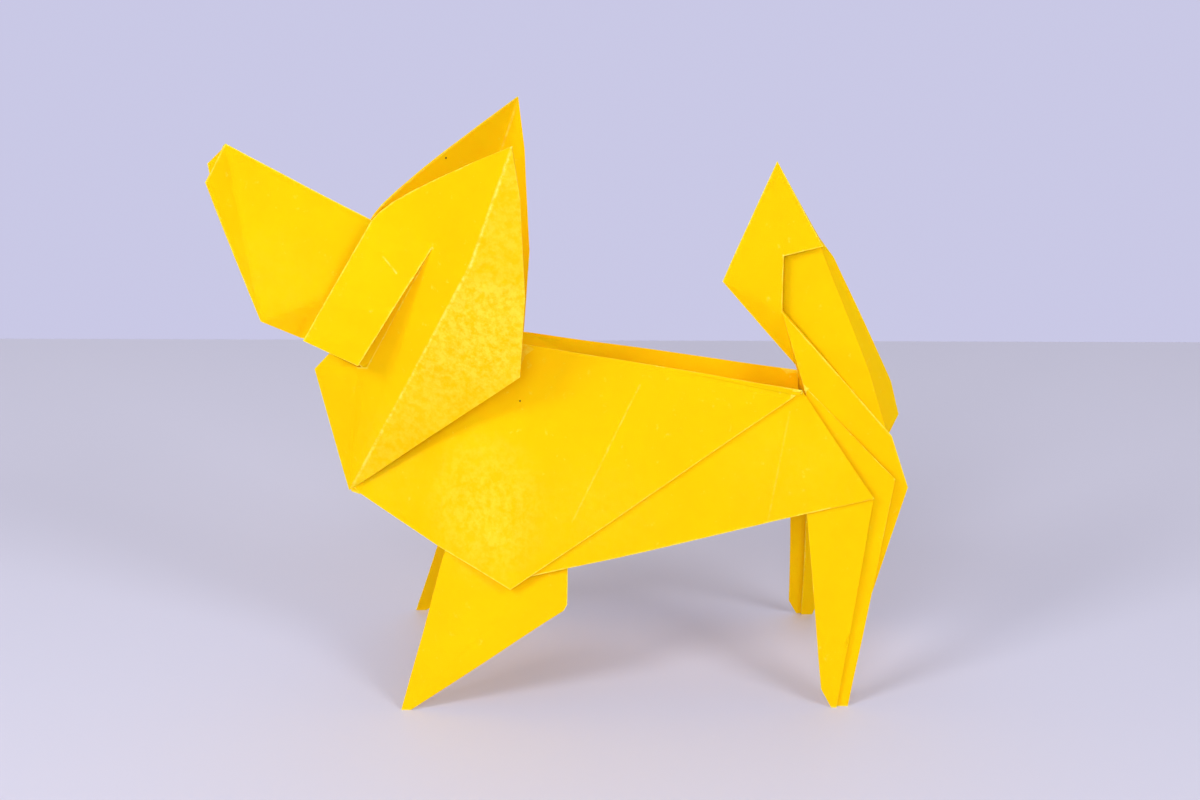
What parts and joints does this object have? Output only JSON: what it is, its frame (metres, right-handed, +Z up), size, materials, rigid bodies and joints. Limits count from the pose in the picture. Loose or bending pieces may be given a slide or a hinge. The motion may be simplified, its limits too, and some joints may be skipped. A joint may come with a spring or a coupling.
{
  "type": "origami dog",
  "caption": "Folded paper dog that stands on its feet, with a raised muzzle, tall pointed ears, an open sunken back and an upright folded tail.",
  "frame": {"origin": "middle of the bounding box at the floor the feet stand on", "axes": "+Z up, nose towards -X, tail towards +X, the flank that faces the viewer towards -Y"},
  "size_m": [0.1368, 0.0454, 0.1133],
  "materials": {
    "paper": "matte"
  },
  "bodies": {
    "root": {"folded_dog": "paper"}
  },
  "joints": []
}
